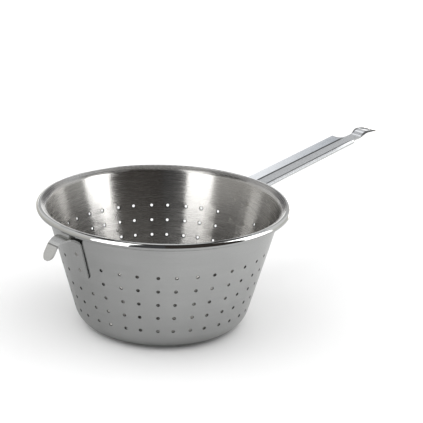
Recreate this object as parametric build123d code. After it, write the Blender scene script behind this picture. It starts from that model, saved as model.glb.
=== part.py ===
from build123d import *
import math
import os

os.makedirs("parts", exist_ok=True)

# The frame: millimetres, origin on the base's underside at the bowl's axis, +Z up,
# +X along the handle, so the hook lies on the -X side

# Bowl: one pressed sheet, flat base, leaning wall, flared edge rolled into a bead
rim_outer_r = 125.0
bowl_height = 124.5
bowl_sheet = 0.8
wall_lean_deg = 15.4
base_corner_r = 23.5
flare_heading_deg = 30.0
flare_bend_r = 5.0
flare_run = 3.26
bead_r = 3.45
bead_curl_deg = 285.0

# Rim wire inside the bead
wire_play = 0.15

# Perforation: columns of round holes in close pairs, and rings of holes in the base
hole_r = 1.5
row_drop = 39.9
row_pitch = 15.1
row_foot_margin = 5.0
column_pairs = 18
pair_spread_deg = 9.3
ring_pitch = 15.0
ring_margin = 4.0
holes_per_ring_step = 6
skipped_rows = 2

# Handle: a pressed sheet, with a curved foot on the wall, a shallow channel, and a tip that
# narrows to a neck and arches over an eye
handle_sheet = 1.5
handle_rise_deg = 9.8
handle_bead_gap = 3.8
handle_root_bend_r = 5.0
handle_neck_w = 20.0
handle_root_w = 33.0
handle_grip_w = 31.8
handle_floor_root_w = 14.0
handle_floor_grip_w = 12.2
handle_lip_rise = 2.7
handle_root_run = 3.0
lip_clearance = 1.0
channel_start = 9.0
channel_length = 134.0
channel_fade = 13.0
channel_fade_deg = 7.5
tip_neck_w = 14.0
tip_eye_w = 17.0
tip_run = 6.5
tip_valley_r = 10.0
tip_climb_deg = 32.0
tip_climb = 3.6
tip_crest_r = 11.0
tip_flat = 8.0
tip_end_r = 18.0
tip_fall_deg = 22.0
tip_fall = 5.0
hanging_hole_r = 5.0
foot_w = 32.0
foot_drop = 55.0
foot_corner_r = 6.0
foot_weld_spread = 19.8
foot_weld_low = 10.2
foot_weld_rise = 20.6

# Hook: a bent strap for a pot's rim
hook_sheet = 1.5
hook_w = 20.0
hook_tongue_w = 14.0
hook_drop = 54.0
hook_corner_r = 3.0
hook_bead_gap = 1.9
hook_root_bend_r = 10.0
hook_rise_deg = 30.0
hook_reach = 2.4
hook_crest_r = 15.0
hook_slope_deg = 32.0
hook_slope = 2.5
hook_crease_r = 4.0
hook_tongue_deg = 60.0
hook_tongue = 14.6
hook_weld_low = 8.0
hook_weld_rise = 17.0

# Spot welds: the fused plug that joins a strap or a foot to the wall
weld_r = 2.0
weld_dimple = 0.25
weld_seam = 0.02

# Both fixed sheets stand off the wall by this much between their welds
wall_fit = 0.05

# Every cutting solid runs past the faces that it cuts by this much
overrun = 2.0


def direction(heading):
    """Unit vector in the XZ plane at a heading in degrees above +X."""
    return Vector(math.cos(math.radians(heading)), 0, math.sin(math.radians(heading)))


def left_of(heading):
    """Unit vector square to a heading, on its left."""
    return direction(heading + 90)


def bend_step(heading, turn, radius):
    """Where a bend ends, seen from its start: positive turns go left."""
    side = math.copysign(radius, turn)
    return side * left_of(heading) - side * left_of(heading + turn)


def path_end(start, heading, moves):
    """End point and heading of a middle line made of (length, turn, radius) moves."""
    for length, turn, radius in moves:
        start = start + length * direction(heading)
        if turn:
            start = start + bend_step(heading, turn, radius)
            heading = heading + turn
    return start, heading


def side_edges(start, heading, moves, offset):
    """Edges of one side of a sheet, at an offset to the left of its middle line."""
    edges = []
    for length, turn, radius in moves:
        near = start + offset * left_of(heading)
        start = start + length * direction(heading)
        far = start + offset * left_of(heading)
        if length:
            edges.append(Edge.make_line(near, far))
        if turn:
            half_way = start + bend_step(heading, turn / 2, radius)
            middle = half_way + offset * left_of(heading + turn / 2)
            start = start + bend_step(heading, turn, radius)
            heading = heading + turn
            end = start + offset * left_of(heading)
            edges.append(Edge.make_three_point_arc(far, middle, end))
    return edges


def sheet_section(start, heading, moves, thickness):
    """Section of a bent sheet: straight lengths and bends, each a (length, turn, radius) move."""
    left = side_edges(start, heading, moves, thickness / 2)
    right = side_edges(start, heading, moves, -thickness / 2)
    head = Edge.make_line(left[0] @ 0, right[0] @ 0)
    tail = Edge.make_line(left[-1] @ 1, right[-1] @ 1)
    return Face(Wire([*left, tail, *right, head]))


# Places that several pieces share
wall_heading = 90 - wall_lean_deg
wall_slope = math.tan(math.radians(wall_lean_deg))
wall_inward = left_of(wall_heading)
foot_bottom = bowl_height - foot_drop
hook_bottom = bowl_height - hook_drop

# The bowl's middle line, worked back from the bead: along the flare to the wall's top end
flare_turn = flare_heading_deg - wall_heading
curl_r = bead_r - bowl_sheet / 2
bead_centre = Vector(rim_outer_r - bead_r, 0, bowl_height - bead_r)
flare_end = bead_centre + curl_r * left_of(flare_heading_deg)
flare_start = flare_end - flare_run * direction(flare_heading_deg)
wall_top = flare_start - bend_step(wall_heading, flare_turn, flare_bend_r)

# Where the wall's outer line meets the base's plane, and where the flat base ends
outer_top = wall_top - bowl_sheet / 2 * wall_inward
wall_foot_r = outer_top.X - wall_slope * outer_top.Z
base_flat_r = wall_foot_r - base_corner_r * math.tan(math.radians(wall_heading / 2))


def wall_point(height, outset=0):
    """A point of the outer wall's line at a height, moved square to the wall by an outset."""
    return Vector(wall_foot_r + wall_slope * height, 0, height) - outset * wall_inward


def leg_length(start, bend_r, rise, gap, thickness):
    """Length of a leg on the wall whose bent end passes below the bead with a gap."""
    bend = bend_step(wall_heading, rise - wall_heading, bend_r)
    up = left_of(rise)
    reach = bead_r + gap + thickness / 2
    return ((bead_centre - start - bend).dot(up) - reach) / direction(wall_heading).dot(up)


def bowl_moves():
    """The bowl's middle line, from the axis along the base, up the wall and round the bead."""
    corner_r = base_corner_r - bowl_sheet / 2
    start = Vector(0, 0, bowl_sheet / 2)
    wall_start, _ = path_end(start, 0, [(base_flat_r, wall_heading, corner_r)])
    wall_run = (wall_top.Z - wall_start.Z) / direction(wall_heading).Z
    moves = [
        (base_flat_r, wall_heading, corner_r),
        (wall_run, flare_turn, flare_bend_r),
        (flare_run, -bead_curl_deg, curl_r),
    ]
    return start, moves


def plug(centre, outward, radius, low, high):
    """A round plug along a direction, between two distances from a centre point."""
    place = Plane(origin=centre + low * outward, z_dir=outward)
    return place * Cylinder(radius, high - low, align=(Align.CENTER, Align.CENTER, Align.MIN))


def around(azimuth, vector):
    """A point or direction of the XZ plane, turned about the bowl's axis."""
    return vector.rotate(Axis.Z, azimuth)


def wall_hole(azimuth, height):
    """The cutter of one hole through the wall, square to it."""
    centre = around(azimuth, wall_point(height))
    outward = around(azimuth, -wall_inward)
    return plug(centre, outward, hole_r, -bowl_sheet - overrun, overrun)


def column_azimuths():
    """Azimuths of the columns: pairs a little closer together than their neighbours."""
    pitch = 360 / column_pairs
    azimuths = []
    for pair in range(column_pairs):
        middle = pitch * (pair + 1 / 2)
        azimuths.append(middle - pair_spread_deg / 2)
        azimuths.append(middle + pair_spread_deg / 2)
    return azimuths


def behind_fixing(azimuth, row):
    """Whether a hole would lie behind the handle's foot or the hook's strap."""
    pitch = 360 / column_pairs
    off_line = min(azimuth % 180, 180 - azimuth % 180)
    return row < skipped_rows and off_line < pitch / 2


def perforation():
    """Cutters of all the holes in the wall and the base."""
    first = bowl_height - row_drop
    corner_top = base_corner_r * (1 - math.sin(math.radians(wall_lean_deg)))
    rows = int((first - corner_top - row_foot_margin) / row_pitch) + 1
    cutters = []
    for row in range(rows):
        for azimuth in column_azimuths():
            if not behind_fixing(azimuth, row):
                cutters.append(wall_hole(azimuth, first - row * row_pitch))
    rings = int((base_flat_r - ring_margin) / ring_pitch)
    for ring in range(1, rings + 1):
        holes = holes_per_ring_step * ring
        for hole in range(holes):
            centre = around(360 * hole / holes, Vector(ring * ring_pitch, 0, 0))
            cutters.append(plug(centre, Vector(0, 0, 1), hole_r, -overrun, bowl_sheet + overrun))
    return cutters


def foot_weld_places():
    """Azimuth and height of the four spot welds of the handle's foot."""
    places = []
    for height in (foot_bottom + foot_weld_low, foot_bottom + foot_weld_low + foot_weld_rise):
        swing = math.degrees(foot_weld_spread / 2 / wall_point(height).X)
        places.append((-swing, height))
        places.append((swing, height))
    return places


def hook_weld_places():
    """Azimuth and height of the spot welds of the hook's leg, one above the other."""
    return [(180, hook_bottom + hook_weld_low), (180, hook_bottom + hook_weld_low + hook_weld_rise)]


def weld_plugs(places, fixed_sheet, radius, inset):
    """Plugs through the wall and the sheet fixed to it, drawn in from both faces by an inset."""
    plugs = []
    for azimuth, height in places:
        centre = around(azimuth, wall_point(height))
        outward = around(azimuth, -wall_inward)
        face = fixed_sheet + wall_fit
        plugs.append(plug(centre, outward, radius, inset - bowl_sheet, face - inset))
    return plugs


def make_bowl():
    """The perforated bowl with its base, wall, flare and rolled bead in one sheet."""
    start, moves = bowl_moves()
    shell = revolve(sheet_section(start, 0, moves, bowl_sheet), Axis.Z)
    cutters = perforation()
    cutters += weld_plugs(foot_weld_places(), handle_sheet, weld_r + weld_seam, -overrun)
    cutters += weld_plugs(hook_weld_places(), hook_sheet, weld_r + weld_seam, -overrun)
    return shell.cut(*cutters)


def make_rim_wire():
    """The wire ring that the bead is rolled round."""
    wire_r = bead_r - bowl_sheet - wire_play
    section = Plane(origin=bead_centre, z_dir=(0, -1, 0)) * Circle(wire_r)
    return revolve(section, Axis.Z)


def trough_section(origin, heading, floor_w, lip_w, rise):
    """Section of the handle square to its run: a flat floor between two sloping flanges."""
    tops = [(-lip_w / 2, rise), (-floor_w / 2, 0), (floor_w / 2, 0), (lip_w / 2, rise)]
    unders = [(across, up - handle_sheet) for across, up in reversed(tops)]
    corners = [origin + across * Vector(0, 1, 0) + up * left_of(heading) for across, up in tops + unders]
    return Face(Wire.make_polygon(corners, close=True))


def foot_path():
    """Start, moves and end of the middle line of the handle's foot, up to where the channel starts."""
    start = wall_point(foot_bottom - overrun, wall_fit + handle_sheet / 2)
    leg = leg_length(start, handle_root_bend_r, handle_rise_deg, handle_bead_gap, handle_sheet)
    moves = [(leg, handle_rise_deg - wall_heading, handle_root_bend_r), (handle_root_run, 0, 0)]
    end, _ = path_end(start, wall_heading, moves)
    return start, moves, end


def make_foot():
    """The handle's foot: curved with the wall, and narrowing to the neck that passes the bead."""
    start, moves, end = foot_path()
    section = sheet_section(start, wall_heading, moves, handle_sheet)
    swing = 2 * math.degrees(foot_w / start.X)
    band = revolve(section.rotate(Axis.Z, -swing / 2), Axis.Z, swing)
    half_foot = foot_w / 2
    half_neck = handle_neck_w / 2
    shoulder = bead_centre.Z - bead_r - handle_bead_gap - handle_root_bend_r
    outline = Polyline(
        (-half_foot, foot_bottom),
        (half_foot, foot_bottom),
        (half_foot, shoulder - half_neck),
        (half_neck, shoulder),
        (half_neck, bowl_height),
        (-half_neck, bowl_height),
        (-half_neck, shoulder),
        (-half_foot, shoulder - half_neck),
        close=True,
    )
    window = make_face(outline)
    window = fillet(window.vertices().group_by(Axis.Y)[0], foot_corner_r)
    return band & extrude(Plane.YZ * window, end.X + overrun)


def channel_places():
    """Places on the handle's top face: root, full channel, channel's end and fade's end."""
    _, _, end = foot_path()
    rise_way = direction(handle_rise_deg)
    top = end + handle_sheet / 2 * left_of(handle_rise_deg)
    root = top - handle_root_run / 2 * rise_way
    full_x = rim_outer_r + channel_start
    full = top + (full_x - top.X) / rise_way.X * rise_way
    grip_end = full + channel_length / rise_way.X * rise_way
    fade_end = grip_end + channel_fade * direction(channel_fade_deg)
    return root, full, grip_end, fade_end


def make_channel():
    """The handle's long channel, from flat at the root to flat before the tip."""
    root, full, grip_end, fade_end = channel_places()
    sections = [
        trough_section(root, handle_rise_deg, handle_floor_root_w, handle_root_w, 0),
        trough_section(full, handle_rise_deg, handle_floor_root_w, handle_root_w, handle_lip_rise),
        trough_section(grip_end, handle_rise_deg, handle_floor_grip_w, handle_grip_w, handle_lip_rise),
        trough_section(fade_end, channel_fade_deg, handle_floor_grip_w, handle_grip_w, 0),
    ]
    pieces = [loft([near, far], ruled=True) for near, far in zip(sections, sections[1:])]
    return pieces[0].fuse(*pieces[1:])


def tip_path():
    """The tip's middle line: start, moves, the start and middle of its flat crest, and end."""
    fade_end = channel_places()[3]
    start = fade_end - handle_sheet / 2 * left_of(channel_fade_deg)
    climb = [
        (tip_run, tip_climb_deg - channel_fade_deg, tip_valley_r),
        (tip_climb, -tip_climb_deg, tip_crest_r),
    ]
    crest_start, _ = path_end(start, channel_fade_deg, climb)
    crest = crest_start + tip_flat / 2 * direction(0)
    moves = [*climb, (tip_flat, -tip_fall_deg, tip_end_r), (tip_fall, 0, 0)]
    end, _ = path_end(start, channel_fade_deg, moves)
    return start, moves, crest_start, crest, end


def make_tip():
    """The arched tip, before the handle's outline is cut."""
    start, moves, _, _, _ = tip_path()
    moves = [*moves[:-1], (tip_fall + overrun, 0, 0)]
    section = sheet_section(start, channel_fade_deg, moves, handle_sheet)
    return extrude(section, tip_eye_w, dir=(0, 1, 0), both=True)


def handle_outline(start_x):
    """The handle's outline from above: root, channel lips, notches, neck, eye and round end."""
    _, full, grip_end, fade_end = channel_places()
    _, _, crest_start, _, end = tip_path()
    root = handle_neck_w / 2
    root_lip = handle_root_w / 2
    grip_lip = handle_grip_w / 2
    neck = tip_neck_w / 2
    eye = tip_eye_w / 2
    root_x = rim_outer_r + lip_clearance
    neck_x = fade_end.X + tip_run * direction(channel_fade_deg).X
    shoulder = ((neck_x + crest_start.X) / 2, (neck + eye) / 2)
    round_x = end.X - eye
    side = [
        Line((start_x, root), (root_x, root)),
        TangentArc((root_x, root), (full.X, root_lip), tangent=(1, 0)),
        Line((full.X, root_lip), (grip_end.X, grip_lip)),
        TangentArc((fade_end.X, neck), (grip_end.X, grip_lip), tangent=(-1, 0)),
        Line((fade_end.X, neck), (neck_x, neck)),
        TangentArc((neck_x, neck), shoulder, tangent=(1, 0)),
        TangentArc((crest_start.X, eye), shoulder, tangent=(-1, 0)),
        Line((crest_start.X, eye), (round_x, eye)),
    ]
    other = [edge.mirror(Plane.XZ) for edge in side]
    nose = ThreePointArc((round_x, eye), (end.X, 0), (round_x, -eye))
    back = Line((start_x, root), (start_x, -root))
    return make_face([*side, *other, nose, back])


def make_handle():
    """The handle with its foot, channel, arched tip and hanging hole, in one sheet."""
    crest = tip_path()[3]
    root = channel_places()[0]
    outline = handle_outline(root.X - overrun)
    bar = make_channel().fuse(make_tip()) & extrude(outline, 2 * bowl_height)
    hole = plug(crest, Vector(0, 0, 1), hanging_hole_r, -overrun, overrun)
    welds = weld_plugs(foot_weld_places(), handle_sheet, weld_r + weld_seam, -overrun)
    return make_foot().fuse(bar).cut(hole, *welds)


def hook_path():
    """Start, moves, end of the arch and end of the hook's middle line, drawn on the +X side."""
    start = wall_point(hook_bottom - overrun, wall_fit + hook_sheet / 2)
    leg = leg_length(start, hook_root_bend_r, hook_rise_deg, hook_bead_gap, hook_sheet)
    arch = [
        (leg, hook_rise_deg - wall_heading, hook_root_bend_r),
        (hook_reach, -hook_slope_deg - hook_rise_deg, hook_crest_r),
        (hook_slope, hook_slope_deg - hook_tongue_deg, hook_crease_r),
    ]
    arch_end, _ = path_end(start, wall_heading, arch)
    moves = [*arch, (hook_tongue, 0, 0)]
    end, _ = path_end(start, wall_heading, moves)
    return start, moves, arch_end, end


def hook_plan(arch_end_x, far_x):
    """The strap's outline from above: full width on the wall, narrowing over the arch."""
    half = hook_w / 2
    half_tongue = hook_tongue_w / 2
    side = [(0, half), (rim_outer_r, half), (arch_end_x, half_tongue), (far_x, half_tongue)]
    other = [(x, -y) for x, y in reversed(side)]
    return make_face(Polyline(*side, *other, close=True))


def leg_front():
    """The leg's outline from the front, with rounded lower corners."""
    height = bowl_height - hook_bottom
    outline = Pos(0, hook_bottom + height / 2) * Rectangle(hook_w, height)
    return fillet(outline.vertices().group_by(Axis.Y)[0], hook_corner_r)


def tongue_front(round_z):
    """The tongue's outline from the front, with its rounded end."""
    height = bowl_height - round_z
    return Pos(0, round_z + height / 2) * Rectangle(hook_w, height) + Pos(0, round_z) * Circle(hook_tongue_w / 2)


def make_hook():
    """The hook's strap: a leg on the wall, an arch under and past the bead, and a tongue."""
    start, moves, arch_end, end = hook_path()
    section = sheet_section(start, wall_heading, moves, hook_sheet)
    strap = extrude(section, hook_w / 2, dir=(0, 1, 0), both=True)
    far_x = end.X + overrun
    plan = extrude(hook_plan(arch_end.X, far_x), bowl_height, dir=(0, 0, 1))
    leg = extrude(Plane.YZ * leg_front(), rim_outer_r)
    tongue_face = Plane.YZ.offset(rim_outer_r) * tongue_front(end.Z + hook_tongue_w / 2)
    tongue = extrude(tongue_face, far_x - rim_outer_r)
    hook = (strap & plan & leg.fuse(tongue)).rotate(Axis.Z, 180)
    return hook.cut(*weld_plugs(hook_weld_places(), hook_sheet, weld_r + weld_seam, -overrun))


def make_welds(places, fixed_sheet):
    """One group of spot welds, as separate plugs."""
    return Compound(children=weld_plugs(places, fixed_sheet, weld_r, weld_dimple))


def main():
    """Makes every piece and writes it as one file per node."""
    pieces = {
        "bowl": make_bowl(),
        "rim_wire": make_rim_wire(),
        "handle": make_handle(),
        "handle_spot_welds": make_welds(foot_weld_places(), handle_sheet),
        "hook": make_hook(),
        "hook_spot_welds": make_welds(hook_weld_places(), hook_sheet),
    }
    for name, piece in pieces.items():
        export_step(piece, "parts/" + name + ".step")


main()
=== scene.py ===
import math

import bpy
from mathutils import Matrix, Vector


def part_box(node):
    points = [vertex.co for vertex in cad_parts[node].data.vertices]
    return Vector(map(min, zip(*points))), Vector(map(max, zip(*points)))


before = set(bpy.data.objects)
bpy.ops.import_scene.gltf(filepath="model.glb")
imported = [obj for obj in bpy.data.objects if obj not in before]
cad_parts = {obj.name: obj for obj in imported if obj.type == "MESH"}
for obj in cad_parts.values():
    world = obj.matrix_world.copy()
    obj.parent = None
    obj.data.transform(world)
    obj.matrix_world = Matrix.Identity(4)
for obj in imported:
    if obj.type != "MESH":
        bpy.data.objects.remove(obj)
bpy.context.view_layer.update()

bl_info = {
    "name": "Pasta Strainer Finishes",
    "version": (1, 0, 0),
    "blender": (4, 5, 0),
    "location": "3D View > Sidebar > Strainer",
    "description": "Brushed and polished steel for a pasta strainer, with its studio",
    "category": "Object",
}

MILLIMETRE = 0.001

# The bead at the bowl's rim, from the boxes of the bowl and of the wire inside the bead
BOWL_LOW, BOWL_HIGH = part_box("bowl")
WIRE_LOW, WIRE_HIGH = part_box("rim_wire")
RIM_TOP = BOWL_HIGH.z
BEAD_BOTTOM = RIM_TOP - 2 * (RIM_TOP - (WIRE_LOW.z + WIRE_HIGH.z) / 2)
BEAD_MIDDLE = (WIRE_HIGH.x + BOWL_HIGH.x) / 2 - (RIM_TOP - BEAD_BOTTOM) / 2
BEAD_BLUR = 0.4 * MILLIMETRE
BEAD_INSET = 1.5 * MILLIMETRE

# The wall's drain holes: five rows of paired columns, none behind the handle's foot and the strap
HOLE_RADIUS = 1.5 * MILLIMETRE
HOLE_TOP_ROW = RIM_TOP - 39.9 * MILLIMETRE
HOLE_ROW_PITCH = 15.1 * MILLIMETRE
HOLE_ROWS = 5
HOLE_SKIPPED_ROWS = 2
HOLE_PAIR_PITCH = math.radians(20)
HOLE_PAIR_SPREAD = math.radians(9.3)
# Painted shade: a near-black ring round each hole, blurred outward and a little wider on the
# bowl's inside
HOLE_BLUR = 0.5 * MILLIMETRE
HOLE_INSIDE_GROWTH = 0.45 * MILLIMETRE
HOLE_SHADE_TONE = 0.05
WALL_LEAN = math.radians(15.4)

# The two folds of the handle's channel: how far out they lie at its two ends, how wide their
# lines of painted shade are, and over which length these fade out
FOLD_NEAR_X = 134 * MILLIMETRE
FOLD_NEAR_Y = 7.0 * MILLIMETRE
FOLD_FAR_X = 268 * MILLIMETRE
FOLD_FAR_Y = 6.1 * MILLIMETRE
FOLD_CORE = 0.7 * MILLIMETRE
FOLD_EDGE = 1.3 * MILLIMETRE
FOLD_NEAR_FADE = 12 * MILLIMETRE
FOLD_FAR_FADE = 10 * MILLIMETRE

# The handle's neck and the eye of its tip, and how far in from their edges the painted shade
# starts
EYE_X = 304.3 * MILLIMETRE
EYE_RADIUS = 8.5 * MILLIMETRE
EYE_DARK_START = 3.2 * MILLIMETRE
EYE_DARK_FULL = 1.6 * MILLIMETRE
EYE_LEAST = 0.35
NECK_HALF = 7.0 * MILLIMETRE
NECK_DARK_START = 1.5 * MILLIMETRE
NECK_DARK_FULL = 0.5 * MILLIMETRE

# Where the hook's arch ends and its tongue begins, with a line of painted shade across the strap
# there
CREASE_X = -138.0 * MILLIMETRE
CREASE_CORE = 0.2 * MILLIMETRE
CREASE_EDGE = 0.7 * MILLIMETRE

# How strongly the painted shade at the eye and the crease darkens the steel, beside that at the
# folds, and the darkest tone of the painted shade
EYE_SHADE_SHARE = 0.9
CREASE_SHADE_SHARE = 0.6
STRAP_SHADE_TONE = 0.08

# Brush marks: noise per metre along them and across them (round the bowl, along is per radian)
BOWL_FINE_GRAIN = (3.0, 2600.0)
BOWL_BROAD_GRAIN = (1.5, 260.0)
WIRE_GRAIN = (4.0, 4000.0)
STRAP_GRAIN = (18.0, 1500.0)

# Smudges and mottling: noise per metre
BOWL_SMUDGES = 22.0
STRAP_SMUDGES = 35.0
WELD_MOTTLE = 900.0

# The part of a noise's values that is used
NOISE_LOW = 0.3
NOISE_HIGH = 0.7

# How far brush marks stretch the highlights, and the turn that stretches them across the marks
OUTSIDE_STRETCH = 0.80
INSIDE_STRETCH = 0.95
STRAP_STRETCH = 0.4
WIRE_STRETCH = 0.3
QUARTER_TURN = 0.25

# Depths of marks that aren't brushed
WELD_DEPTH = 0.00003
WIRE_DEPTH = 0.00001

# Keeps coordinates round the axis from being divided by nothing
LEAST_RADIUS = 1e-4

# The floor as the steel mirrors it, with painted light and shade: lighter to the camera's right,
# darker to its left
FLOOR_FADE = 0.32
FLOOR_RIGHT_TONE = 1.12
FLOOR_LEFT_TONE = 0.76

# The lamps: where they stand round the bowl, all at one height, with equal shares of the light
SUNS = (("sun_left", math.radians(150)), ("sun_right", math.radians(-60)))
SUN_ELEVATION = math.radians(60)

# Cards: the lower edge of those that stand on the floor, and the steps of round ones
CARD_FOOT = 0.001
CARD_STEP_DEGREES = 3
ROOF_STEPS = 48
ROOF_INNER_SHARE = 0.5
ROOF_COLOUR = (0.05, 0.047, 0.044)


class StrainerSteel(bpy.types.PropertyGroup):
    """Colours and finishes of the strainer's steel."""

    bowl_colour: bpy.props.FloatVectorProperty(
        name="Bowl colour", description="Steel of the bowl's sheet", subtype="COLOR",
        size=3, min=0, max=1, default=(0.515, 0.52, 0.515))
    # Painted shade: the bowl's inside gets a darker steel colour than its outside
    shaded_inside_colour: bpy.props.FloatVectorProperty(
        name="Inside colour", description="Steel of the bowl's inside", subtype="COLOR",
        size=3, min=0, max=1, default=(0.425, 0.418, 0.405))
    handle_colour: bpy.props.FloatVectorProperty(
        name="Handle colour", description="Steel of the handle", subtype="COLOR",
        size=3, min=0, max=1, default=(0.62, 0.635, 0.655))
    hook_colour: bpy.props.FloatVectorProperty(
        name="Hook colour", description="Steel of the hook's strap", subtype="COLOR",
        size=3, min=0, max=1, default=(0.515, 0.52, 0.515))
    weld_colour: bpy.props.FloatVectorProperty(
        name="Weld colour", description="Pressed and slightly darkened weld spots, and the wire",
        subtype="COLOR", size=3, min=0, max=1, default=(0.45, 0.44, 0.42))
    brushed_roughness: bpy.props.FloatProperty(
        name="Inside roughness", description="Mean roughness of the bowl's brushed inside",
        min=0, max=1, default=0.25, subtype="FACTOR")
    outside_roughness: bpy.props.FloatProperty(
        name="Outside roughness", description="Mean roughness of the bowl's satin outside",
        min=0, max=1, default=0.19, subtype="FACTOR")
    polished_roughness: bpy.props.FloatProperty(
        name="Polished roughness", description="Mean roughness of the polished rim",
        min=0, max=1, default=0.07, subtype="FACTOR")
    handle_roughness: bpy.props.FloatProperty(
        name="Handle roughness", description="Mean roughness of the handle and the hook",
        min=0, max=1, default=0.22, subtype="FACTOR")
    grain_depth: bpy.props.FloatProperty(
        name="Grain depth", description="Depth of the brush marks",
        min=0, max=0.001, default=0.00002, precision=6, unit="LENGTH")


class StrainerStage(bpy.types.PropertyGroup):
    """The floor, the lamps and the cards round the strainer, and the camera."""

    floor_colour: bpy.props.FloatVectorProperty(
        name="Floor colour", description="Plain pale floor", subtype="COLOR",
        size=3, min=0, max=1, default=(0.92, 0.92, 0.92))
    # Painted shade: the floor's darker colour, seen only in the steel's reflections
    mirrored_floor: bpy.props.FloatVectorProperty(
        name="Mirrored floor", description="The floor's colour where the steel mirrors it",
        subtype="COLOR", size=3, min=0, max=1, default=(0.60, 0.60, 0.60))
    floor_size: bpy.props.FloatProperty(
        name="Floor size", description="Side of the square floor",
        min=1, default=16.0, unit="LENGTH")
    sky_strength: bpy.props.FloatProperty(
        name="Sky strength", description="Even light from all round", min=0, default=0.75)
    sun_strength: bpy.props.FloatProperty(
        name="Sun strength", description="Soft light from above", min=0, default=1.75)
    sun_softness: bpy.props.FloatProperty(
        name="Sun softness", description="Angle over which the light from above is spread",
        min=0, default=math.radians(60), subtype="ANGLE")
    card_distance: bpy.props.FloatProperty(
        name="Card distance", description="From the bowl's axis to the cards",
        min=0.2, default=0.50, unit="LENGTH")
    back_distance: bpy.props.FloatProperty(
        name="Back card distance", description="From the bowl's axis to the cards behind it",
        min=0.4, default=1.02, unit="LENGTH")
    card_height: bpy.props.FloatProperty(
        name="Card height", description="Height by which the cards' edges are measured",
        min=0.1, default=0.36, unit="LENGTH")
    softbox_strength: bpy.props.FloatProperty(
        name="Softbox strength", description="Brightness of the two white cards",
        min=0, default=4.2)
    roof_height: bpy.props.FloatProperty(
        name="Roof card height", description="Height of the dark ring above the bowl",
        min=0.15, default=0.30, unit="LENGTH")
    roof_radius: bpy.props.FloatProperty(
        name="Roof card radius", description="Outer radius of the dark ring above the bowl",
        min=0.05, default=0.178, unit="LENGTH")
    camera_azimuth: bpy.props.FloatProperty(
        name="Camera azimuth", description="Direction of the camera from the bowl's base",
        default=math.radians(-42.6), subtype="ANGLE")
    camera_elevation: bpy.props.FloatProperty(
        name="Camera elevation", description="Height angle of the camera above the floor",
        default=math.radians(23.42), subtype="ANGLE")
    camera_distance: bpy.props.FloatProperty(
        name="Camera distance", description="From the bowl's base to the camera",
        default=1.3728, unit="LENGTH")
    camera_heading: bpy.props.FloatProperty(
        name="Camera heading", description="Where the camera looks, turned from +X",
        default=math.radians(45.27), subtype="ANGLE")
    camera_dip: bpy.props.FloatProperty(
        name="Camera dip", description="How far the camera looks down",
        default=math.radians(18.875), subtype="ANGLE")
    camera_roll: bpy.props.FloatProperty(
        name="Camera roll", description="Turn of the picture about its middle",
        default=math.radians(1.97), subtype="ANGLE")
    camera_lens: bpy.props.FloatProperty(
        name="Camera lens", description="Focal length in millimetres on a 36 mm frame",
        min=10, default=114.89)


class Nodes:
    """A short way to add linked shader nodes to one material or world."""

    def __init__(self, tree):
        self.tree = tree
        tree.nodes.clear()

    def add(self, kind, inputs=None, **settings):
        """Adds a node, sets its settings, and sets or links its inputs."""
        node = self.tree.nodes.new(kind)
        for name, value in settings.items():
            setattr(node, name, value)
        for name, value in (inputs or {}).items():
            if isinstance(value, bpy.types.NodeSocket):
                self.tree.links.new(value, node.inputs[name])
            else:
                node.inputs[name].default_value = value
        return node

    def math(self, operation, first, second=0.0, third=0.0):
        """One math node's result."""
        return self.add("ShaderNodeMath", {0: first, 1: second, 2: third},
                        operation=operation).outputs[0]

    def length(self, first, second):
        """The length of a level vector from its two parts."""
        return self.math("SQRT", self.math("ADD", self.math("MULTIPLY", first, first),
                                           self.math("MULTIPLY", second, second)))

    def weigh(self, first, second, share):
        """A sum of two numbers, of which the first has the given share."""
        return self.math("ADD", self.math("MULTIPLY", first, share),
                         self.math("MULTIPLY", second, 1.0 - share))

    def ramp(self, value, low, high, to_low=0.0, to_high=1.0, step="SMOOTHSTEP"):
        """A step from one value to another, smooth unless it is said to be linear."""
        return self.add("ShaderNodeMapRange", {
            "Value": value, "From Min": low, "From Max": high,
            "To Min": to_low, "To Max": to_high}, interpolation_type=step).outputs["Result"]

    def between(self, factor, first, second):
        """A number between two numbers."""
        return self.ramp(factor, 0.0, 1.0, first, second, "LINEAR")

    def contrast(self, noise, low=0.0, high=1.0):
        """A noise's values spread from one number to another."""
        return self.ramp(noise, NOISE_LOW, NOISE_HIGH, low, high)

    def noise(self, vector, scale, detail=2.0, roughness=0.5):
        """A noise texture's value."""
        return self.add("ShaderNodeTexNoise", {
            "Vector": vector, "Scale": scale, "Detail": detail,
            "Roughness": roughness}).outputs["Fac"]

    def blend(self, factor, first, second):
        """A colour between two colours."""
        return self.add("ShaderNodeMix", {0: factor, 6: first, 7: second},
                        data_type="RGBA").outputs[2]

    def place(self):
        """Where a point of the surface lies."""
        return self.add("ShaderNodeNewGeometry").outputs["Position"]

    def split(self, vector):
        """A vector's three parts."""
        axis = self.add("ShaderNodeSeparateXYZ", {"Vector": vector})
        return axis.outputs["X"], axis.outputs["Y"], axis.outputs["Z"]


def rgba(colour, factor=1.0):
    """A colour with alpha, made lighter or darker by a factor."""
    return (*[min(1.0, channel * factor) for channel in colour], 1.0)


def new_material(name):
    """A material and its shader nodes, none yet."""
    material = bpy.data.materials.new(name)
    material.use_nodes = True
    return material, Nodes(material.node_tree)


def round_grain(nodes, place, along, across):
    """Coordinates for brush marks that run round the Z axis: slow along them, fast across."""
    x, y, z = nodes.split(place)
    radius = nodes.length(x, y)
    safe = nodes.math("MAXIMUM", radius, LEAST_RADIUS)
    level = nodes.math("ADD", z, radius)
    return nodes.add("ShaderNodeCombineXYZ", {
        "X": nodes.math("MULTIPLY", nodes.math("DIVIDE", x, safe), along),
        "Y": nodes.math("MULTIPLY", nodes.math("DIVIDE", y, safe), along),
        "Z": nodes.math("MULTIPLY", level, across)}).outputs["Vector"]


def straight_grain(nodes, place, along, across):
    """Coordinates for brush marks that run along X."""
    return nodes.add("ShaderNodeMapping", {
        "Vector": place, "Scale": (along, across, across)}).outputs["Vector"]


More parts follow.
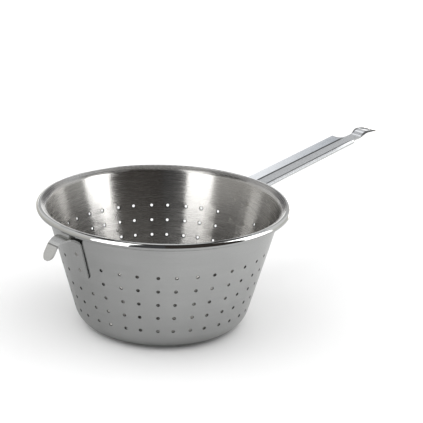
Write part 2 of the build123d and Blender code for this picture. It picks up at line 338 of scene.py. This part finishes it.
def steel_shader(nodes, colour, roughness, marks, depth, stretch, turn, axis):
    """A metal shader with marks of a depth, whose highlights are stretched round an axis."""
    bump = nodes.add("ShaderNodeBump", {"Height": marks, "Distance": depth, "Strength": 1.0})
    tangent = nodes.add("ShaderNodeTangent", direction_type="RADIAL", axis=axis)
    shader = nodes.add("ShaderNodeBsdfPrincipled", {
        "Base Color": colour, "Metallic": 1.0, "Roughness": roughness,
        "Normal": bump.outputs["Normal"], "Anisotropic": stretch,
        "Anisotropic Rotation": turn, "Tangent": tangent.outputs["Tangent"]})
    nodes.add("ShaderNodeOutputMaterial", {"Surface": shader.outputs["BSDF"]})


def hole_shade(nodes, place, inside):
    """Painted shade: one at the edges of the wall's drain holes, a little further out on the
    bowl's inside.
    """
    x, y, z = nodes.split(place)
    radius = nodes.length(x, y)
    pair = nodes.math("WRAP", nodes.math("ARCTAN2", y, x), HOLE_PAIR_PITCH)
    off_middle = nodes.math("ABSOLUTE", nodes.math("SUBTRACT", pair, HOLE_PAIR_PITCH / 2))
    off_column = nodes.math("SUBTRACT", off_middle, HOLE_PAIR_SPREAD / 2)
    across = nodes.math("MULTIPLY", off_column, radius)
    row = nodes.math("DIVIDE", nodes.math("SUBTRACT", HOLE_TOP_ROW, z), HOLE_ROW_PITCH)
    off_row = nodes.math("SUBTRACT", row, nodes.math("ROUND", row))
    down = nodes.math("MULTIPLY", off_row, HOLE_ROW_PITCH / math.cos(WALL_LEAN))
    nearer = nodes.math("SUBTRACT", nodes.length(across, down),
                        nodes.math("MULTIPLY", inside, HOLE_INSIDE_GROWTH))
    mark = nodes.ramp(nearer, HOLE_RADIUS, HOLE_RADIUS + HOLE_BLUR, 1.0, 0.0)
    in_rows = nodes.math("COMPARE", row, (HOLE_ROWS - 1) / 2, HOLE_ROWS / 2)
    beside = nodes.math("GREATER_THAN", nodes.math("ABSOLUTE", y),
                        nodes.math("MULTIPLY", radius, math.sin(HOLE_PAIR_PITCH / 2)))
    below = nodes.math("GREATER_THAN", row, HOLE_SKIPPED_ROWS - 0.5)
    free = nodes.math("MAXIMUM", beside, below)
    return nodes.math("MULTIPLY", nodes.math("MULTIPLY", mark, in_rows), free)


def bowl_steel(steel):
    """Satin steel brushed round the bowl, with a polished rim, painted shade on its inside and
    round its drain holes.
    """
    material, nodes = new_material("bowl_brushed_steel")
    place = nodes.place()
    x, y, height = nodes.split(place)
    radius = nodes.length(x, y)
    streaks = nodes.noise(round_grain(nodes, place, *BOWL_FINE_GRAIN), 1.0, 3.0, 0.6)
    bands = nodes.noise(round_grain(nodes, place, *BOWL_BROAD_GRAIN), 1.0, 2.0)
    smudges = nodes.noise(place, BOWL_SMUDGES, 3.0)
    grain = nodes.weigh(streaks, bands, 0.7)
    tone = nodes.contrast(nodes.weigh(grain, smudges, 0.7))

    # One on the bead, and one on the inside without the bead
    bead = nodes.math("MULTIPLY",
                      nodes.ramp(height, BEAD_BOTTOM - BEAD_BLUR, BEAD_BOTTOM + BEAD_BLUR),
                      nodes.ramp(radius, BEAD_MIDDLE - BEAD_INSET, BEAD_MIDDLE))
    normal = nodes.add("ShaderNodeNewGeometry").outputs["True Normal"]
    upward = nodes.math("MULTIPLY", nodes.ramp(nodes.split(normal)[2], -0.05, 0.05),
                        nodes.math("SUBTRACT", 1.0, bead))

    # Painted shade: upward faces, the bowl's inside, take the darker inside colour, and a
    # near-black ring darkens each drain hole's edge
    outside = nodes.blend(tone, rgba(steel.bowl_colour, 0.93), rgba(steel.bowl_colour, 1.07))
    inside = nodes.blend(tone, rgba(steel.shaded_inside_colour, 0.90), rgba(steel.shaded_inside_colour, 1.10))
    colour = nodes.blend(hole_shade(nodes, place, upward),
                         nodes.blend(upward, outside, inside),
                         rgba(steel.bowl_colour, HOLE_SHADE_TONE))

    satin = nodes.between(upward, steel.outside_roughness, steel.brushed_roughness)
    brushed = nodes.math("ADD", satin, nodes.contrast(grain, -0.04, 0.04))
    polished = nodes.ramp(smudges, 0.35, 0.65, steel.polished_roughness - 0.02,
                          steel.polished_roughness + 0.03)
    rough = nodes.between(bead, brushed, polished)
    stretch = nodes.between(upward, OUTSIDE_STRETCH, INSIDE_STRETCH)
    depth_share = nodes.math("MULTIPLY", nodes.between(bead, 1.0, 0.05),
                             nodes.between(upward, 0.35, 1.0))
    scratches = nodes.math("MULTIPLY", grain, depth_share)
    steel_shader(nodes, colour, rough, scratches, steel.grain_depth, stretch, QUARTER_TURN, "Z")
    return material


def fold_shade(nodes, place):
    """Painted shade: one along the two folds of the handle's channel, and nothing elsewhere."""
    x, y, _ = nodes.split(place)
    fold = nodes.ramp(x, FOLD_NEAR_X, FOLD_FAR_X, FOLD_NEAR_Y, FOLD_FAR_Y, "LINEAR")
    off_fold = nodes.math("SUBTRACT", nodes.math("ABSOLUTE", y), fold)
    mark = nodes.ramp(nodes.math("ABSOLUTE", off_fold), FOLD_CORE, FOLD_EDGE, 1.0, 0.0)
    start = nodes.ramp(x, FOLD_NEAR_X - FOLD_NEAR_FADE, FOLD_NEAR_X)
    end = nodes.ramp(x, FOLD_FAR_X, FOLD_FAR_X + FOLD_FAR_FADE, 1.0, 0.0)
    return nodes.math("MULTIPLY", mark, nodes.math("MULTIPLY", start, end))


def eye_shade(nodes, place):
    """Painted shade: one along the outer edge of the handle's eye and on its climb, and nothing
    elsewhere.
    """
    x, y, _ = nodes.split(place)
    along = nodes.math("SUBTRACT", x, EYE_X)
    out = nodes.math("ABSOLUTE", y)
    round_edge = nodes.ramp(nodes.length(along, out), EYE_RADIUS - EYE_DARK_START,
                            EYE_RADIUS - EYE_DARK_FULL, EYE_LEAST, 1.0)
    near_eye = nodes.ramp(x, EYE_X - 2 * EYE_RADIUS, EYE_X - 1.2 * EYE_RADIUS)
    side = nodes.ramp(out, NECK_HALF - NECK_DARK_START, NECK_HALF - NECK_DARK_FULL)
    before = nodes.math("LESS_THAN", along, 0.0)
    beyond = nodes.math("GREATER_THAN", along, 0.0)
    edge = nodes.math("MAXIMUM", nodes.math("MULTIPLY", side, before),
                      nodes.math("MULTIPLY", round_edge, beyond))
    return nodes.math("MULTIPLY", edge, near_eye)


def crease_shade(nodes, place):
    """Painted shade: one where the hook's arch ends, and nothing elsewhere."""
    x, _, _ = nodes.split(place)
    return nodes.ramp(nodes.math("ABSOLUTE", nodes.math("SUBTRACT", x, CREASE_X)),
                      CREASE_CORE, CREASE_EDGE, 1.0, 0.0)


def strap_steel(steel, name, colour):
    """Satin steel brushed along the X axis, with painted shade along folds, the eye's edge and
    the crease.
    """
    material, nodes = new_material(name)
    place = nodes.place()
    streaks = nodes.noise(straight_grain(nodes, place, *STRAP_GRAIN), 1.0, 3.0, 0.6)
    smudges = nodes.noise(place, STRAP_SMUDGES, 3.0)
    tone = nodes.contrast(nodes.weigh(streaks, smudges, 0.6))
    plain = nodes.blend(tone, rgba(colour, 0.94), rgba(colour, 1.06))
    # Painted shade at the folds, the eye's edge and the crease darkens the steel's colour
    eye = nodes.math("MULTIPLY", eye_shade(nodes, place), EYE_SHADE_SHARE)
    crease = nodes.math("MULTIPLY", crease_shade(nodes, place), CREASE_SHADE_SHARE)
    marks = nodes.math("MAXIMUM", fold_shade(nodes, place), nodes.math("MAXIMUM", eye, crease))
    shaded_tint = nodes.blend(marks, plain, rgba(colour, STRAP_SHADE_TONE))
    rough = nodes.contrast(streaks, steel.handle_roughness - 0.05, steel.handle_roughness + 0.05)
    steel_shader(nodes, shaded_tint, rough, streaks, steel.grain_depth, STRAP_STRETCH, 0.0, "X")
    return material


def weld_steel(steel):
    """Pressed and mottled weld spots."""
    material, nodes = new_material("spot_weld_steel")
    mottle = nodes.noise(nodes.place(), WELD_MOTTLE, 3.0)
    colour = nodes.blend(mottle, rgba(steel.weld_colour, 0.8), rgba(steel.weld_colour, 1.15))
    rough = nodes.contrast(mottle, 0.28, 0.42)
    steel_shader(nodes, colour, rough, mottle, WELD_DEPTH, 0.0, 0.0, "Z")
    return material


def wire_steel(steel):
    """Drawn steel wire inside the rolled rim."""
    material, nodes = new_material("drawn_wire_steel")
    lines = nodes.noise(round_grain(nodes, nodes.place(), *WIRE_GRAIN), 1.0, 2.0)
    colour = nodes.blend(lines, rgba(steel.weld_colour, 0.95), rgba(steel.weld_colour, 1.1))
    rough = nodes.contrast(lines, 0.25, 0.38)
    steel_shader(nodes, colour, rough, lines, WIRE_DEPTH, WIRE_STRETCH, QUARTER_TURN, "Z")
    return material


def finish_nodes(names, material):
    """Gives carried-over solids one material."""
    for name in names:
        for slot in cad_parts[name].material_slots:
            slot.material = material


def new_mesh(name, points, faces, material):
    """A mesh with one material."""
    mesh = bpy.data.meshes.new(name)
    mesh.from_pydata(points, [], faces)
    mesh.materials.append(material)
    return mesh


def new_object(name, data):
    """An object in the scene."""
    thing = bpy.data.objects.new(name, data)
    bpy.context.scene.collection.objects.link(thing)
    return thing


def hang_card(name, points, faces, material):
    """Puts a card in the scene, where only the steel's mirroring meets it."""
    card = new_object(name, new_mesh(name, points, faces, material))
    card.visible_camera = False
    card.visible_diffuse = False
    card.visible_shadow = False


def arc_card(name, start, end, radius, low, high, material):
    """A curved card round the bowl's axis, between two directions in degrees and two heights."""
    steps = max(2, round(abs(end - start) / CARD_STEP_DEGREES))
    points = []
    for step in range(steps + 1):
        turn = math.radians(start + (end - start) * step / steps)
        for height in (low, high):
            points.append((radius * math.cos(turn), radius * math.sin(turn), height))
    faces = [(2 * i, 2 * i + 2, 2 * i + 3, 2 * i + 1) for i in range(steps)]
    hang_card(name, points, faces, material)


def roof_card(name, height, inner, outer, material):
    """A flat ring-shaped card level above the bowl."""
    points = []
    for step in range(ROOF_STEPS):
        turn = 2 * math.pi * step / ROOF_STEPS
        for radius in (inner, outer):
            points.append((radius * math.cos(turn), radius * math.sin(turn), height))
    count = len(points)
    faces = [(2 * i, 2 * i + 1, (2 * i + 3) % count, (2 * i + 2) % count)
             for i in range(ROOF_STEPS)]
    hang_card(name, points, faces, material)


def glow(name, colour, strength):
    """A plain light-giving material for a card."""
    material, nodes = new_material(name)
    light = nodes.add("ShaderNodeEmission", {"Color": rgba(colour), "Strength": strength})
    nodes.add("ShaderNodeOutputMaterial", {"Surface": light.outputs["Emission"]})
    return material


def make_cards(stage):
    """The cards that the steel mirrors, by their directions from the bowl."""
    near, far, high = stage.card_distance, stage.back_distance, stage.card_height
    softbox = stage.softbox_strength
    toward_camera = math.degrees(stage.camera_azimuth) - 90
    # Name, colour and strength; first and last direction in degrees from the camera's; distance
    # from the bowl's axis; lower and upper edge as shares of the card height
    cards = (
        ("dark_card", (0.055, 0.047, 0.042), 1.0, 2, 65.5, near, 0, 5.3),
        ("dim_card", (0.085, 0.086, 0.09), 1.0, -26, 2, near, 0, 5.3),
        ("left_softbox", (1, 1, 1), softbox, -57, -26, near, 0, 2.9),
        ("right_softbox", (1, 1, 1), 1.35 * softbox, 65.5, 97, near, 0.25, 1.9),
        ("right_foot", (0.42, 0.42, 0.41), 1.0, 65.5, 97, near, 0, 0.25),
        ("left_grey", (0.74, 0.72, 0.67), 1.0, -160, -57, near, 0, 0.53),
        ("left_light", (0.85, 0.84, 0.82), 1.0, -117, -57, near, 0.53, 1.4),
        ("right_grey", (0.90, 0.90, 0.85), 1.0, 97, 109, near, 0, 0.6),
        ("right_dim", (0.80, 0.80, 0.75), 1.0, 109, 131, near, 0, 0.6),
        ("warm_card", (1.0, 0.93, 0.86), 4.6, 131, 154, near, 0, 0.42),
        ("back_dark", (0.20, 0.20, 0.21), 1.0, 167, 190, 0.68 * near, 0.43, 0.86),
        ("back_low", (1, 1, 1), 1.7, 150, 210, far, 0, 1),
        ("back_grey", (0.64, 0.64, 0.64), 1.0, 150, 210, far, 1, 2.6),
        ("back_corner", (0.58, 0.61, 0.65), 1.0, 130, 158.5, far, 2.6, 4.5),
        ("back_fade", (0.92, 0.94, 0.97), 1.0, 158.5, 160.5, far, 2.6, 4.5),
        ("back_high", (1, 1, 1), 1.6, 160.5, 190, far, 2.6, 4.5),
        ("tip_grey", (0.60, 0.60, 0.61), 1.0, -170, -125, far, 2.6, 5),
    )
    for name, colour, strength, start, end, radius, low, top in cards:
        arc_card(name, toward_camera + start, toward_camera + end, radius,
                 max(CARD_FOOT, low * high), top * high, glow(name, colour, strength))
    roof_card("roof_card", stage.roof_height, ROOF_INNER_SHARE * stage.roof_radius,
              stage.roof_radius, glow("roof_card", ROOF_COLOUR, 1.0))


def make_floor(stage):
    """The plain pale floor, with painted shade where the steel mirrors it, greyer than the camera
    sees it.
    """
    material, nodes = new_material("pale_floor")
    x, y, _ = nodes.split(nodes.place())
    # Painted light and shade in the floor's reflections: lighter to the camera's right, darker to
    # its left
    side = nodes.ramp(nodes.math("SUBTRACT", y, x), -FLOOR_FADE, FLOOR_FADE)
    shade = nodes.blend(side, rgba(stage.mirrored_floor, FLOOR_RIGHT_TONE),
                        rgba(stage.mirrored_floor, FLOOR_LEFT_TONE))
    mirrored = nodes.add("ShaderNodeLightPath").outputs["Is Glossy Ray"]
    tone = nodes.blend(mirrored, rgba(stage.floor_colour), shade)
    paint = nodes.add("ShaderNodeBsdfDiffuse", {"Color": tone})
    nodes.add("ShaderNodeOutputMaterial", {"Surface": paint.outputs["BSDF"]})
    half = stage.floor_size / 2
    corners = [(-half, -half, 0), (half, -half, 0), (half, half, 0), (-half, half, 0)]
    floor = new_object("floor", new_mesh("floor", corners, [(0, 1, 2, 3)], material))


def make_sky(stage):
    """Even light all round, seen as white by the camera and in the steel."""
    world = bpy.data.worlds.new("studio")
    bpy.context.scene.world = world
    world.use_nodes = True
    nodes = Nodes(world.node_tree)
    path = nodes.add("ShaderNodeLightPath")
    seen = nodes.math("MAXIMUM", path.outputs["Is Camera Ray"],
                      nodes.math("MAXIMUM", path.outputs["Is Glossy Ray"],
                                 path.outputs["Is Transmission Ray"]))
    light = nodes.add("ShaderNodeBackground", {
        "Color": (1, 1, 1, 1), "Strength": nodes.between(seen, stage.sky_strength, 1.0)})
    nodes.add("ShaderNodeOutputWorld", {"Surface": light.outputs["Background"]})


def make_sun(stage, name, azimuth):
    """One soft light from above, which the steel doesn't mirror."""
    lamp = bpy.data.lights.new(name, "SUN")
    lamp.energy = stage.sun_strength / len(SUNS)
    lamp.angle = stage.sun_softness
    sun = new_object(name, lamp)
    toward = Vector((math.cos(azimuth) * math.cos(SUN_ELEVATION),
                     math.sin(azimuth) * math.cos(SUN_ELEVATION), math.sin(SUN_ELEVATION)))
    sun.rotation_mode = "QUATERNION"
    sun.rotation_quaternion = toward.to_track_quat("Z", "Y")
    sun.visible_glossy = False


def make_camera(stage):
    """The camera, placed and turned as for the photograph."""
    lens = bpy.data.cameras.new("camera")
    lens.sensor_width = 36
    lens.lens = stage.camera_lens
    lens.clip_start = 0.05
    lens.clip_end = 100
    camera = new_object("camera", lens)
    azimuth, elevation = stage.camera_azimuth, stage.camera_elevation
    level = math.cos(elevation) * stage.camera_distance
    place = Vector((math.sin(azimuth) * level, -math.cos(azimuth) * level,
                    math.sin(elevation) * stage.camera_distance))
    turn = (Matrix.Rotation(stage.camera_heading - math.pi / 2, 4, "Z")
            @ Matrix.Rotation(math.pi / 2 - stage.camera_dip, 4, "X")
            @ Matrix.Rotation(stage.camera_roll, 4, "Z"))
    camera.matrix_world = Matrix.Translation(place) @ turn
    bpy.context.scene.camera = camera


class STRAINER_OT_bowl(bpy.types.Operator):
    """Brushes the bowl's sheet and polishes its rim"""

    bl_idname = "strainer.bowl"
    bl_label = "Bowl"

    def execute(self, context):
        finish_nodes(["bowl"], bowl_steel(context.scene.strainer_steel))
        return {"FINISHED"}


class STRAINER_OT_rim_wire(bpy.types.Operator):
    """Gives the wire inside the rim its drawn finish"""

    bl_idname = "strainer.rim_wire"
    bl_label = "Rim wire"

    def execute(self, context):
        finish_nodes(["rim_wire"], wire_steel(context.scene.strainer_steel))
        return {"FINISHED"}


class STRAINER_OT_handle_and_hook(bpy.types.Operator):
    """Brushes the handle and the hook along their length"""

    bl_idname = "strainer.handle_and_hook"
    bl_label = "Handle and hook"

    def execute(self, context):
        steel = context.scene.strainer_steel
        finish_nodes(["handle"], strap_steel(steel, "handle_brushed_steel", steel.handle_colour))
        finish_nodes(["hook"], strap_steel(steel, "hook_brushed_steel", steel.hook_colour))
        return {"FINISHED"}


class STRAINER_OT_spot_welds(bpy.types.Operator):
    """Gives the spot welds their pressed and mottled finish"""

    bl_idname = "strainer.spot_welds"
    bl_label = "Spot welds"

    def execute(self, context):
        finish_nodes(["handle_spot_welds", "hook_spot_welds"],
                     weld_steel(context.scene.strainer_steel))
        return {"FINISHED"}


class STRAINER_OT_stage(bpy.types.Operator):
    """Sets the camera, the floor, the sky, the lamps and the cards"""

    bl_idname = "strainer.stage"
    bl_label = "Stage"

    def execute(self, context):
        stage = context.scene.strainer_stage
        make_camera(stage)
        make_floor(stage)
        make_sky(stage)
        for name, azimuth in SUNS:
            make_sun(stage, name, azimuth)
        make_cards(stage)
        return {"FINISHED"}


OPERATORS = (
    STRAINER_OT_stage,
    STRAINER_OT_bowl,
    STRAINER_OT_rim_wire,
    STRAINER_OT_handle_and_hook,
    STRAINER_OT_spot_welds,
)


class STRAINER_PT_panel(bpy.types.Panel):
    """Lists the strainer's finishes and its stage"""

    bl_idname = "STRAINER_PT_panel"
    bl_label = "Pasta Strainer"
    bl_space_type = "VIEW_3D"
    bl_region_type = "UI"
    bl_category = "Strainer"

    def draw(self, context):
        for settings in (context.scene.strainer_steel, context.scene.strainer_stage):
            box = self.layout.box()
            for name in settings.bl_rna.properties.keys():
                if name not in ("rna_type", "name"):
                    box.prop(settings, name)
        for operator in OPERATORS:
            self.layout.operator(operator.bl_idname)


CLASSES = (StrainerSteel, StrainerStage, *OPERATORS, STRAINER_PT_panel)


def register():
    """Registers the settings, the operators and the panel."""
    for each in CLASSES:
        bpy.utils.register_class(each)
    bpy.types.Scene.strainer_steel = bpy.props.PointerProperty(type=StrainerSteel)
    bpy.types.Scene.strainer_stage = bpy.props.PointerProperty(type=StrainerStage)


def unregister():
    """Removes the settings, the operators and the panel."""
    del bpy.types.Scene.strainer_stage
    del bpy.types.Scene.strainer_steel
    for each in reversed(CLASSES):
        bpy.utils.unregister_class(each)


def main():
    """Registers everything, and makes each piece's finish and the stage."""
    register()
    bpy.context.scene.view_settings.view_transform = "Standard"
    bpy.ops.strainer.stage()
    bpy.ops.strainer.bowl()
    bpy.ops.strainer.rim_wire()
    bpy.ops.strainer.handle_and_hook()
    bpy.ops.strainer.spot_welds()
    bpy.context.view_layer.update()


if __name__ == "__main__":
    main()
